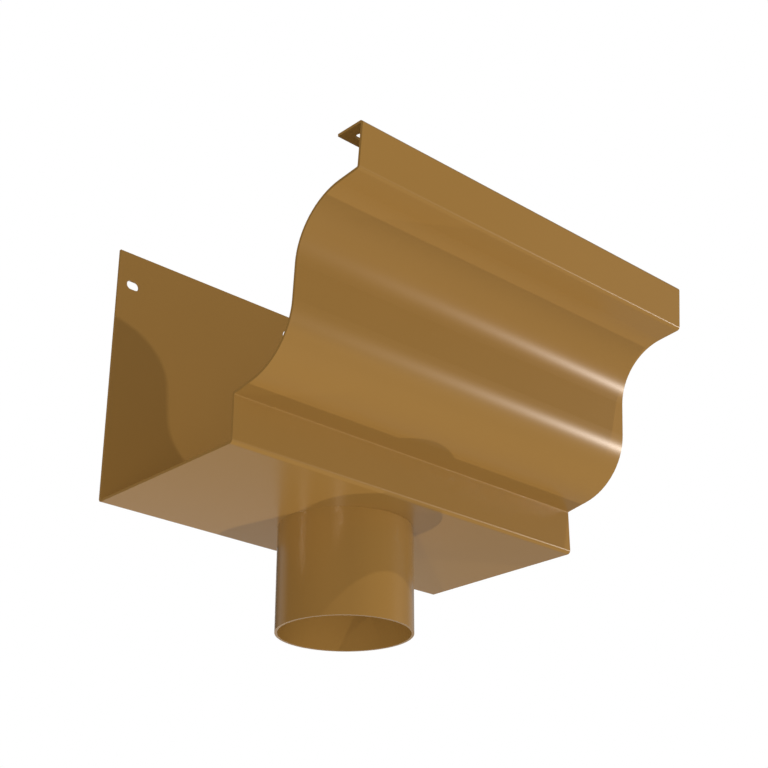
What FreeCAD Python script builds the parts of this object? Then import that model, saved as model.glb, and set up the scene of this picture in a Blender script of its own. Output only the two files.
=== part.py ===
import FreeCAD, Part
import math
import os
import Sketcher

# Gutter outlet: a short length of folded ogee gutter with a round spigot joined under its sole.
# Millimetres and degrees, +Z up, +X along the gutter, +Y towards the wall.
# The origin is on the spigot's axis, in the plane of its lower rim.

SIZES = {
    # The folded sheet.
    "unit_length": 250.0,
    "sheet_thickness": 1.5,
    "fold_inside_radius": 0.7,
    # Its section, measured on the outer skin and from the sole's underside. The band and the waist
    # lean from upright by their angles, and the two slopes fall from level by theirs.
    "sole_width": 115.5,
    "back_height": 154.3,
    "front_height": 140.5,
    "front_projection": 92.5,
    "lip_depth": 18.3,
    "top_band_height": 26.7,
    "top_band_angle": 5.4,
    "upper_slope_length": 14.4,
    "upper_slope_angle": 6.0,
    "cove_radius": 34.0,
    "waist_angle": 4.0,
    "ovolo_radius": 36.5,
    "lower_slope_angle": 10.0,
    "lower_face_height": 25.8,
    # Fixing slots near both ends of the back and the lip, and the round hole in the back. The drops
    # are below the back's top edge, and the inset is from the lip's free edge.
    "slot_length": 8.5,
    "slot_width": 5.5,
    "slot_end_distance": 10.0,
    "back_slot_drop": 20.0,
    "lip_slot_inset": 7.7,
    "middle_hole_diameter": 7.8,
    "middle_hole_drop": 13.6,
    # The spigot, from its lower rim to the sole's underside.
    "spigot_diameter": 76.0,
    "spigot_wall": 1.5,
    "spigot_length": 59.7,
}

# Places on a sketch's edge: its start, its end and an arc's centre.
START, END, CENTRE = 1, 2, 3
# The sketch's own origin, as an edge and a place on it.
ORIGIN = (-1, START)
# The sketch's vertical axis.
UPRIGHT = -2
# How near an edge has to lie to a corner to be the edge at that corner.
NEAR = 0.01

Vector = FreeCAD.Vector


def make_sheet(document):
    """The sheet of driving dimensions, one alias for each."""
    sheet = document.addObject("Spreadsheet::Sheet", "sizes")
    for row, (alias, value) in enumerate(SIZES.items(), start=1):
        sheet.set(f"A{row}", alias)
        sheet.set(f"B{row}", str(value))
        sheet.setAlias(f"B{row}", alias)
    document.recompute()
    return sheet


doc = FreeCAD.newDocument("gutter_outlet")
sizes = make_sheet(doc)


def size(alias):
    """One driving dimension, read from the sheet."""
    return float(sizes.get(alias))


# Helpers for sketches.

def origin_plane(body, role):
    return next(item for item in body.Origin.OriginFeatures if item.Role == role)


def new_sketch(body, name, role):
    """Empty sketch on one of the body's own origin planes."""
    sketch = body.newObject("Sketcher::SketchObject", name)
    sketch.AttachmentSupport = [(origin_plane(body, role), "")]
    sketch.MapMode = "FlatFace"
    return sketch


def fix(sketch, *constraint):
    """Geometric constraint."""
    sketch.addConstraint(Sketcher.Constraint(*constraint))


def drive(sketch, name, expression, kind, *places):
    """Dimension of a sketch, bound to the sheet."""
    value = sketch.evalExpression(expression)
    start = math.radians(value) if kind == "Angle" else value
    index = sketch.addConstraint(Sketcher.Constraint(kind, *places, start))
    sketch.renameConstraint(index, name)
    sketch.setExpression(f"Constraints.{name}", expression)


def direction(degrees):
    """Unit vector in a sketch, turned anticlockwise from its first axis."""
    angle = math.radians(degrees)
    return Vector(math.cos(angle), math.sin(angle), 0)


def left_of(along):
    """The given direction, turned a quarter anticlockwise."""
    return Vector(-along.y, along.x, 0)


def arc(centre, first, last):
    """Arc drawn anticlockwise from first to last."""
    begin, finish = first - centre, last - centre
    circle = Part.Circle(centre, Vector(0, 0, 1), begin.Length)
    return Part.ArcOfCircle(circle, math.atan2(begin.y, begin.x), math.atan2(finish.y, finish.x))


def draw_circle(sketch, name, diameter, height="0"):
    """Circle on the sketch's vertical axis, at a height above its origin."""
    middle = Vector(0, sketch.evalExpression(height), 0)
    radius = sketch.evalExpression(diameter) / 2
    circle = sketch.addGeometry(Part.Circle(middle, Vector(0, 0, 1), radius))
    fix(sketch, "PointOnObject", circle, CENTRE, UPRIGHT)
    drive(sketch, f"{name}_height", height, "DistanceY", *ORIGIN, circle, CENTRE)
    drive(sketch, f"{name}_diameter", diameter, "Diameter", circle)


def draw_slot(sketch, height):
    """Fixing slot that runs along the gutter near its left end, at a height above the origin."""
    middle = Vector(size("slot_end_distance") - size("unit_length") / 2, sketch.evalExpression(height), 0)
    radius = size("slot_width") / 2
    rise = Vector(0, radius, 0)
    reach = Vector(size("slot_length") / 2 - radius, 0, 0)
    left, right = middle - reach, middle + reach
    top = sketch.addGeometry(Part.LineSegment(right + rise, left + rise))
    left_end = sketch.addGeometry(arc(left, left + rise, left - rise))
    bottom = sketch.addGeometry(Part.LineSegment(left - rise, right - rise))
    right_end = sketch.addGeometry(arc(right, right - rise, right + rise))
    outline = [top, left_end, bottom, right_end]
    for edge, following in zip(outline, outline[1:] + outline[:1]):
        fix(sketch, "Tangent", edge, END, following, START)
    fix(sketch, "Horizontal", top)
    fix(sketch, "Horizontal", bottom)
    drive(sketch, "slot_radius", "sizes.slot_width / 2", "Radius", left_end)
    drive(sketch, "slot_reach", "sizes.slot_length - sizes.slot_width",
          "DistanceX", left_end, CENTRE, right_end, CENTRE)
    drive(sketch, "slot_place",
          "(sizes.unit_length - sizes.slot_length + sizes.slot_width) / 2 - sizes.slot_end_distance",
          "DistanceX", right_end, CENTRE, *ORIGIN)
    drive(sketch, "slot_height", height, "DistanceY", *ORIGIN, left_end, CENTRE)


# The section of the folded sheet.

def skin_points():
    """Corners and arc centres of the outer skin, worked out from the sheet.

    First axis: depth, from the middle of the sole towards the wall. Second axis: height above the
    sole's underside. The waist and the lower slope are as long as it takes to close the line.
    """
    half_sole = size("sole_width") / 2
    top_front = Vector(-half_sole - size("front_projection"), size("front_height"), 0)
    lean = math.tan(math.radians(size("top_band_angle")))
    upper = direction(-size("upper_slope_angle"))
    waist = direction(size("waist_angle") - 90)
    lower = direction(-size("lower_slope_angle"))
    band_foot = top_front + Vector(lean, -1, 0) * size("top_band_height")
    cove_top = band_foot + upper * size("upper_slope_length")
    cove_centre = cove_top - left_of(upper) * size("cove_radius")
    cove_foot = cove_centre + left_of(waist) * size("cove_radius")
    ovolo_turn = (left_of(waist) - left_of(lower)) * size("ovolo_radius")
    slope_foot = Vector(-half_sole, size("lower_face_height"), 0)
    gap = slope_foot - cove_foot - ovolo_turn
    waist_length = gap.dot(left_of(lower)) / waist.dot(left_of(lower))
    ovolo_top = cove_foot + waist * waist_length
    return {
        "back_top": Vector(half_sole, size("back_height"), 0),
        "sole_back": Vector(half_sole, 0, 0),
        "sole_front": Vector(-half_sole, 0, 0),
        "slope_foot": slope_foot,
        "ovolo_foot": ovolo_top + ovolo_turn,
        "ovolo_centre": ovolo_top + left_of(waist) * size("ovolo_radius"),
        "ovolo_top": ovolo_top,
        "cove_foot": cove_foot,
        "cove_centre": cove_centre,
        "cove_top": cove_top,
        "band_foot": band_foot,
        "top_front": top_front,
        "lip_end": top_front + Vector(size("lip_depth"), 0, 0),
    }


def draw_skin(sketch, at):
    """Open line of the outer skin, from the back's top edge round to the lip's free edge."""
    lines = {
        "back": ("back_top", "sole_back"),
        "sole": ("sole_back", "sole_front"),
        "lower_face": ("sole_front", "slope_foot"),
        "lower_slope": ("slope_foot", "ovolo_foot"),
        "waist": ("ovolo_top", "cove_foot"),
        "upper_slope": ("cove_top", "band_foot"),
        "band": ("band_foot", "top_front"),
        "lip": ("top_front", "lip_end"),
    }
    edge = {}
    for name, (first, last) in lines.items():
        edge[name] = sketch.addGeometry(Part.LineSegment(at[first], at[last]))
    edge["ovolo"] = sketch.addGeometry(arc(at["ovolo_centre"], at["ovolo_top"], at["ovolo_foot"]))
    edge["cove"] = sketch.addGeometry(arc(at["cove_centre"], at["cove_foot"], at["cove_top"]))

    for run in (("back", "sole", "lower_face", "lower_slope"), ("upper_slope", "band", "lip")):
        for name, following in zip(run, run[1:]):
            fix(sketch, "Coincident", edge[name], END, edge[following], START)
    fix(sketch, "Tangent", edge["lower_slope"], END, edge["ovolo"], END)
    fix(sketch, "Tangent", edge["ovolo"], START, edge["waist"], START)
    fix(sketch, "Tangent", edge["waist"], END, edge["cove"], START)
    fix(sketch, "Tangent", edge["cove"], END, edge["upper_slope"], START)
    fix(sketch, "Vertical", edge["back"])
    fix(sketch, "Horizontal", edge["sole"])
    fix(sketch, "Vertical", edge["lower_face"])
    fix(sketch, "Horizontal", edge["lip"])
    fix(sketch, "Symmetric", edge["sole"], START, edge["sole"], END, *ORIGIN)

    drive(sketch, "back_height", "sizes.back_height", "Distance", edge["back"])
    drive(sketch, "sole_width", "sizes.sole_width", "Distance", edge["sole"])
    drive(sketch, "lower_face_height", "sizes.lower_face_height", "Distance", edge["lower_face"])
    drive(sketch, "lower_slope_angle", "180 - sizes.lower_slope_angle", "Angle", edge["lower_slope"])
    drive(sketch, "ovolo_radius", "sizes.ovolo_radius", "Radius", edge["ovolo"])
    drive(sketch, "waist_angle", "90 + sizes.waist_angle", "Angle", edge["waist"])
    drive(sketch, "cove_radius", "sizes.cove_radius", "Radius", edge["cove"])
    drive(sketch, "upper_slope_angle", "180 - sizes.upper_slope_angle", "Angle", edge["upper_slope"])
    drive(sketch, "upper_slope_length", "sizes.upper_slope_length", "Distance", edge["upper_slope"])
    drive(sketch, "top_band_angle", "90 + sizes.top_band_angle", "Angle", edge["band"])
    drive(sketch, "top_band_height", "sizes.top_band_height",
          "DistanceY", edge["band"], START, edge["band"], END)
    drive(sketch, "lip_depth", "sizes.lip_depth", "Distance", edge["lip"])
    drive(sketch, "front_height", "sizes.front_height", "DistanceY", *ORIGIN, edge["lip"], START)
    drive(sketch, "front_projection", "sizes.front_projection",
          "DistanceX", edge["lip"], START, edge["lower_face"], START)


def make_folded_sheet(at):
    """The skin line thickened inwards and drawn out along the gutter, with sharp folds."""
    skin = doc.addObject("Sketcher::SketchObject", "skin")
    # First axis along +Y, second along +Z.
    skin.Placement = FreeCAD.Placement(Vector(), FreeCAD.Rotation(Vector(1, 1, 1), 120))
    draw_skin(skin, at)
    section = doc.addObject("Part::Offset2D", "section")
    section.Source = skin
    section.Mode = "Skin"
    section.Join = "Intersection"
    section.Fill = True
    section.setExpression("Value", "sizes.sheet_thickness")
    folded = doc.addObject("Part::Extrusion", "folded_sheet")
    folded.Base = section
    folded.DirMode = "Normal"
    folded.Symmetric = True
    folded.setExpression("LengthFwd", "sizes.unit_length")
    doc.recompute()
    return folded


def fold_edges(shape, corners):
    """Names of the skin's edges at the given corners, and of the sheet's inner edges behind them."""
    outer, inner = [], []
    for number, edge in enumerate(shape.Edges, start=1):
        box = edge.BoundBox
        if box.YLength > NEAR or box.ZLength > NEAR:
            continue
        place = Vector(box.YMin, box.ZMin, 0)
        distance = min(place.distanceToPoint(corner) for corner in corners)
        if distance < NEAR:
            outer.append(f"Edge{number}")
        elif distance < 2 * size("sheet_thickness"):
            inner.append(f"Edge{number}")
    return outer, inner


def add_fillet(body, name, base, edges, radius):
    fillet = body.newObject("PartDesign::Fillet", name)
    fillet.Base = (base, edges)
    fillet.setExpression("Radius", radius)
    doc.recompute()
    return fillet


def cut_through(body, name, sketch):
    """Cut a sketch through the sheet whose outer face it lies on."""
    cut = body.newObject("PartDesign::Pocket", name)
    cut.Profile = sketch
    cut.SideType = "Symmetric"
    cut.setExpression("Length", "4 * sizes.sheet_thickness")
    doc.recompute()
    return cut


# The pieces.

def make_gutter_section():
    """Folded sheet: back, sole, ogee front, lip, fixing slots and the spigot's hole."""
    at = skin_points()
    body = doc.addObject("PartDesign::Body", "gutter_section")
    body.Label = "gutter_section"
    body.BaseFeature = make_folded_sheet(at)
    body.setExpression("Placement.Base.z", "sizes.spigot_length")
    doc.recompute()

    # Folds. The skin's edge is the tight side of the one fold that turns inwards.
    sharp = body.Tip
    outward = [at[name] for name in ("sole_back", "sole_front", "band_foot", "top_front")]
    outer, inner = fold_edges(sharp.Shape, outward)
    inward_outer, inward_inner = fold_edges(sharp.Shape, [at["slope_foot"]])
    wide = add_fillet(body, "wide_sides_of_folds", sharp, outer + inward_inner,
                      "sizes.fold_inside_radius + sizes.sheet_thickness")
    outer, inner = fold_edges(wide.Shape, outward)
    inward_outer, inward_inner = fold_edges(wide.Shape, [at["slope_foot"]])
    add_fillet(body, "tight_sides_of_folds", wide, inner + inward_outer, "sizes.fold_inside_radius")

    # Hole in the sole, flush with the inside of the spigot.
    sole_outline = new_sketch(body, "sole_hole_outline", "XY_Plane")
    draw_circle(sole_outline, "hole", "sizes.spigot_diameter - 2 * sizes.spigot_wall")
    cut_through(body, "sole_hole", sole_outline)

    # Back: a slot at each end and a round hole between them, set higher.
    slot_outline = new_sketch(body, "back_slot_outline", "XZ_Plane")
    slot_outline.setExpression("AttachmentOffset.Base.z", "-sizes.sole_width / 2")
    draw_slot(slot_outline, "sizes.back_height - sizes.back_slot_drop")
    back_slot = cut_through(body, "back_slot", slot_outline)
    hole_outline = new_sketch(body, "middle_hole_outline", "XZ_Plane")
    hole_outline.setExpression("AttachmentOffset.Base.z", "-sizes.sole_width / 2")
    draw_circle(hole_outline, "hole", "sizes.middle_hole_diameter",
                "sizes.back_height - sizes.middle_hole_drop")
    cut_through(body, "middle_hole", hole_outline)

    # Lip: a slot at each end.
    lip_outline = new_sketch(body, "lip_slot_outline", "XY_Plane")
    lip_outline.setExpression("AttachmentOffset.Base.z", "sizes.front_height")
    draw_slot(lip_outline, "sizes.lip_depth - sizes.lip_slot_inset - sizes.front_projection"
              " - sizes.sole_width / 2")
    lip_slot = cut_through(body, "lip_slot", lip_outline)

    # The same slots at the other end.
    mirror = body.newObject("PartDesign::Mirrored", "far_end_slots")
    mirror.Originals = [back_slot, lip_slot]
    mirror.MirrorPlane = (origin_plane(body, "YZ_Plane"), [""])
    body.Tip = mirror
    doc.recompute()
    return body


def make_outlet_spigot():
    """Round tube, from its lower rim up to the sole's underside."""
    body = doc.addObject("PartDesign::Body", "outlet_spigot")
    body.Label = "outlet_spigot"
    ring = new_sketch(body, "ring", "XY_Plane")
    draw_circle(ring, "outside", "sizes.spigot_diameter")
    draw_circle(ring, "inside", "sizes.spigot_diameter - 2 * sizes.spigot_wall")
    tube = body.newObject("PartDesign::Pad", "tube")
    tube.Profile = ring
    tube.setExpression("Length", "sizes.spigot_length")
    doc.recompute()
    return body


# Checks and files.

def check_document():
    """Stop at an object that failed or a sketch that the sheet doesn't fully settle."""
    for item in doc.Objects:
        if "Invalid" in item.State or "Error" in item.State:
            raise RuntimeError(f"{item.Name} failed: {item.State}")
        if item.TypeId == "Sketcher::SketchObject" and not item.FullyConstrained:
            raise RuntimeError(f"{item.Name} isn't fully constrained")


def export(piece):
    """Write one piece, once it is one sound solid."""
    shape = piece.Shape
    if shape.isNull() or not shape.isValid() or len(shape.Solids) != 1:
        raise RuntimeError(f"{piece.Label} isn't one sound solid")
    shape.exportStep(os.path.join("parts", f"{piece.Label}.step"))
    print(f"{piece.Label}: {shape.Volume / 1000:.2f} cm3, {len(shape.Faces)} faces, {shape.BoundBox}")


os.makedirs("parts", exist_ok=True)
pieces = [make_gutter_section(), make_outlet_spigot()]
doc.recompute()
check_document()
for piece in pieces:
    export(piece)
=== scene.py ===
import math
import bpy
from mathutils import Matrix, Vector

# Gutter outlet in a gloss ochre brown coat, seen from below and from the left.
# Metres, +X along the gutter, +Y towards the wall, +Z up.

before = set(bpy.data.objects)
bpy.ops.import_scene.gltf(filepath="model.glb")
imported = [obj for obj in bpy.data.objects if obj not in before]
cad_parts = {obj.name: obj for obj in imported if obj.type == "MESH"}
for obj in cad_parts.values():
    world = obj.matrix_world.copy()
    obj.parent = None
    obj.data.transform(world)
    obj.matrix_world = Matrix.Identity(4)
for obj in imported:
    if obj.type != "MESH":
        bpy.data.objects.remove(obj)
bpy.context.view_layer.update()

# The pieces, and how far the pattern of the coat is moved on each.
PIECES = {"gutter_section": 1.0, "outlet_spigot": 2.0}

# The coat's colour and gloss: a paint with a little metal in it, under a full clear layer.
COAT_COLOUR = (0.300, 0.158, 0.0375)
COAT_ROUGHNESS = 0.26
COAT_IOR = 1.235
COAT_METALLIC = 0.05
CLEAR_LAYER = 1.0

# Clouds in the coat: waves per metre, how fine they are, the share by which they change the
# colour and the amount by which they change the roughness.
CLOUD_SCALE = 11.0
CLOUD_DETAIL = 3.0
COLOUR_SPREAD = 0.03
ROUGHNESS_SPREAD = 0.02

# Orange peel: waves per metre, how fine they are and how high.
PEEL_SCALE = 750.0
PEEL_DETAIL = 1.0
PEEL_HEIGHT = 0.000004

# Camera: where it stands, how far it is turned from +Y towards +X and how far it looks up,
# in degrees, and its lens. Unturned it looks straight down, and LEVEL degrees bring it level.
CAMERA_PLACE = (-0.53087, -0.59780, -0.21682)
CAMERA_TURN = 43.148
CAMERA_RISE = 24.605
LEVEL = 90.0
LENS_MM = 70.54
SENSOR_MM = 36.0

# Lamps: the way towards each one, its strength and its width in degrees. A strength of 1 shows
# a white face that is turned to the lamp as white.
CRISP = 0.5
SOFT = 40.0
LOW_FRONT_LEFT = (-0.731, -0.547, -0.407)
LAMPS = {
    "lamp_right": ((0.8024, -0.5968, 0.0073), 0.36, CRISP),
    "lamp_above": ((0.150, -0.590, 0.793), 0.307, CRISP),
    "lamp_below_front": ((0.1337, -0.603, -0.7864), 0.385, CRISP),
    "lamp_below_back": ((0.0344, 0.3876, -0.9212), 0.305, CRISP),
    "lamp_left": ((-0.800, 0.430, -0.414), 0.16, CRISP),
    "lamp_fill": (LOW_FRONT_LEFT, 0.20, CRISP),
    "lamp_soft": (LOW_FRONT_LEFT, 0.27, SOFT),
}

# The sky: how strongly it lights the part, and how strong it looks.
SKY_STRENGTH = 0.32
WHITE_STRENGTH = 1.0
WHITE = (1.0, 1.0, 1.0, 1.0)

# A pale grey floor well below the spigot's rim, as the part hangs at the eaves.
FLOOR_DROP = 0.75
FLOOR_REACH = 8.0
FLOOR_COLOUR = (0.40, 0.40, 0.40, 1.0)
FLOOR_ROUGHNESS = 0.9

# Walls on the four sides of the part, each ROOM away from its origin. Each goes from one point
# of the plan to another and has its own brightness, and the back wall and the right one are in
# panels. A wall with no brightness only keeps the white sky out of the coat's reflections.
ROOM = 2.5
BACK_PANEL = 1.2
RIGHT_PANEL = 1.3
WALL_TOP = 15.0
WALLS = {
    "front_wall": ((-ROOM, -ROOM), (ROOM, -ROOM), 0.02),
    "left_wall": ((-ROOM, -ROOM), (-ROOM, ROOM), 0.0),
    "back_wall_left": ((-ROOM, ROOM), (-BACK_PANEL, ROOM), 0.0),
    "back_wall_middle": ((-BACK_PANEL, ROOM), (0.0, ROOM), 0.36),
    "back_wall_right": ((0.0, ROOM), (BACK_PANEL, ROOM), 0.07),
    "corner_back": ((BACK_PANEL, ROOM), (ROOM, ROOM), 0.80),
    "corner_right": ((ROOM, ROOM), (ROOM, RIGHT_PANEL), 0.32),
    "right_wall_middle": ((ROOM, RIGHT_PANEL), (ROOM, 0.0), 0.37),
    "right_wall_front": ((ROOM, 0.0), (ROOM, -ROOM), 0.16),
}


def noise(tree, place, scale, detail):
    """Soft waves from 0 to 1, of the given number to a metre."""
    wave = tree.nodes.new("ShaderNodeTexNoise")
    wave.inputs["Scale"].default_value = scale
    wave.inputs["Detail"].default_value = detail
    tree.links.new(place, wave.inputs["Vector"])
    return wave.outputs["Fac"]


def spread(tree, wave, middle, reach):
    """The wave's 0 to 1 laid out from reach below the middle to reach above it."""
    laid_out = tree.nodes.new("ShaderNodeMapRange")
    laid_out.inputs["To Min"].default_value = middle - reach
    laid_out.inputs["To Max"].default_value = middle + reach
    tree.links.new(wave, laid_out.inputs["Value"])
    return laid_out.outputs["Result"]


def coat(name, shift):
    """Gloss coat with a faint orange peel and a slight unevenness of colour and gloss."""
    material = bpy.data.materials.new(name)
    material.use_nodes = True
    tree = material.node_tree
    shader = tree.nodes["Principled BSDF"]
    shader.inputs["IOR"].default_value = COAT_IOR
    shader.inputs["Coat Weight"].default_value = CLEAR_LAYER
    shader.inputs["Coat IOR"].default_value = COAT_IOR
    shader.inputs["Coat Roughness"].default_value = COAT_ROUGHNESS
    shader.inputs["Metallic"].default_value = COAT_METALLIC

    place = tree.nodes.new("ShaderNodeTexCoord")
    moved = tree.nodes.new("ShaderNodeMapping")
    moved.inputs["Location"].default_value = (shift, shift, shift)
    tree.links.new(place.outputs["Object"], moved.inputs["Vector"])

    cloud = noise(tree, moved.outputs["Vector"], CLOUD_SCALE, CLOUD_DETAIL)
    paint = tree.nodes.new("ShaderNodeVectorMath")
    paint.operation = "SCALE"
    paint.inputs[0].default_value = COAT_COLOUR
    tree.links.new(spread(tree, cloud, 1.0, COLOUR_SPREAD), paint.inputs["Scale"])
    tree.links.new(paint.outputs["Vector"], shader.inputs["Base Color"])
    gloss = spread(tree, cloud, COAT_ROUGHNESS, ROUGHNESS_SPREAD)
    tree.links.new(gloss, shader.inputs["Roughness"])

    peel = noise(tree, moved.outputs["Vector"], PEEL_SCALE, PEEL_DETAIL)
    bump = tree.nodes.new("ShaderNodeBump")
    bump.inputs["Distance"].default_value = PEEL_HEIGHT
    tree.links.new(peel, bump.inputs["Height"])
    tree.links.new(bump.outputs["Normal"], shader.inputs["Normal"])
    return material


def add_lamps():
    """Lamps as far away as the sun, each turned so that its own +Z points towards it."""
    for name, (towards, strength, width) in LAMPS.items():
        light = bpy.data.lights.new(name, "SUN")
        light.energy = math.pi * strength
        light.angle = math.radians(width)
        lamp = bpy.data.objects.new(name, light)
        lamp.rotation_euler = Vector(towards).to_track_quat("Z", "Y").to_euler()
        bpy.context.scene.collection.objects.link(lamp)


def larger(tree, first, second):
    """The larger of two values."""
    pick = tree.nodes.new("ShaderNodeMath")
    pick.operation = "MAXIMUM"
    tree.links.new(first, pick.inputs[0])
    tree.links.new(second, pick.inputs[1])
    return pick.outputs["Value"]


def seen_directly(tree):
    """1 for what the camera sees, straight or in a reflection, and 0 for light on the part."""
    path = tree.nodes.new("ShaderNodeLightPath")
    mirrored = larger(tree, path.outputs["Is Glossy Ray"], path.outputs["Is Transmission Ray"])
    return larger(tree, path.outputs["Is Camera Ray"], mirrored)


def white_light(tree, strength):
    """White background of one strength."""
    light = tree.nodes.new("ShaderNodeBackground")
    light.inputs["Color"].default_value = WHITE
    light.inputs["Strength"].default_value = strength
    return light.outputs["Background"]


def add_sky():
    """Soft light from all round, seen as white by the camera and in reflections."""
    world = bpy.data.worlds.new("studio")
    bpy.context.scene.world = world
    world.use_nodes = True
    tree = world.node_tree
    tree.nodes.clear()
    mix = tree.nodes.new("ShaderNodeMixShader")
    out = tree.nodes.new("ShaderNodeOutputWorld")
    tree.links.new(seen_directly(tree), mix.inputs[0])
    tree.links.new(white_light(tree, SKY_STRENGTH), mix.inputs[1])
    tree.links.new(white_light(tree, WHITE_STRENGTH), mix.inputs[2])
    tree.links.new(mix.outputs["Shader"], out.inputs["Surface"])


def add_panel(name, corners, material):
    """Flat piece of the studio, given by its four corners."""
    mesh = bpy.data.meshes.new(name)
    mesh.from_pydata(corners, [], [(0, 1, 2, 3)])
    mesh.materials.append(material)
    panel = bpy.data.objects.new(name, mesh)
    bpy.context.scene.collection.objects.link(panel)
    return panel


def floor_paint():
    """Matt pale grey."""
    paint = bpy.data.materials.new("floor_paint")
    paint.use_nodes = True
    shader = paint.node_tree.nodes["Principled BSDF"]
    shader.inputs["Base Color"].default_value = FLOOR_COLOUR
    shader.inputs["Roughness"].default_value = FLOOR_ROUGHNESS
    return paint


def add_floor():
    """Floor that casts no shadow, so that the lamps below it still light the part."""
    reach, level = FLOOR_REACH, -FLOOR_DROP
    corners = [(-reach, -reach, level), (reach, -reach, level),
               (reach, reach, level), (-reach, reach, level)]
    floor = add_panel("floor", corners, floor_paint())
    floor.visible_shadow = False


def wall_paint(name, brightness):
    """Plain glow, which Cycles doesn't count among the lamps."""
    paint = bpy.data.materials.new(name)
    paint.use_nodes = True
    paint.cycles.emission_sampling = "NONE"
    tree = paint.node_tree
    tree.nodes.clear()
    glow = tree.nodes.new("ShaderNodeEmission")
    glow.inputs["Strength"].default_value = brightness
    out = tree.nodes.new("ShaderNodeOutputMaterial")
    tree.links.new(glow.outputs["Emission"], out.inputs["Surface"])
    return paint


def add_walls():
    """Walls that are seen only as reflections in the coat, and light nothing."""
    for name, (first, last, brightness) in WALLS.items():
        foot = [(*first, -FLOOR_DROP), (*last, -FLOOR_DROP)]
        top = [(*last, WALL_TOP), (*first, WALL_TOP)]
        wall = add_panel(name, foot + top, wall_paint(f"{name}_paint", brightness))
        wall.visible_camera = False
        wall.visible_diffuse = False
        wall.visible_shadow = False


def add_camera():
    """Camera at the photo's viewing angle."""
    optics = bpy.data.cameras.new("camera")
    optics.lens = LENS_MM
    optics.sensor_width = SENSOR_MM
    camera = bpy.data.objects.new("camera", optics)
    camera.location = CAMERA_PLACE
    camera.rotation_euler = (math.radians(LEVEL + CAMERA_RISE), 0.0, math.radians(-CAMERA_TURN))
    bpy.context.scene.collection.objects.link(camera)
    bpy.context.scene.camera = camera


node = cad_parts
for name, shift in PIECES.items():
    finish = coat(f"{name}_coat", shift)
    for slot in node[name].material_slots:
        slot.material = finish

add_lamps()
add_sky()
add_floor()
add_walls()
add_camera()
bpy.context.scene.view_settings.view_transform = "Standard"
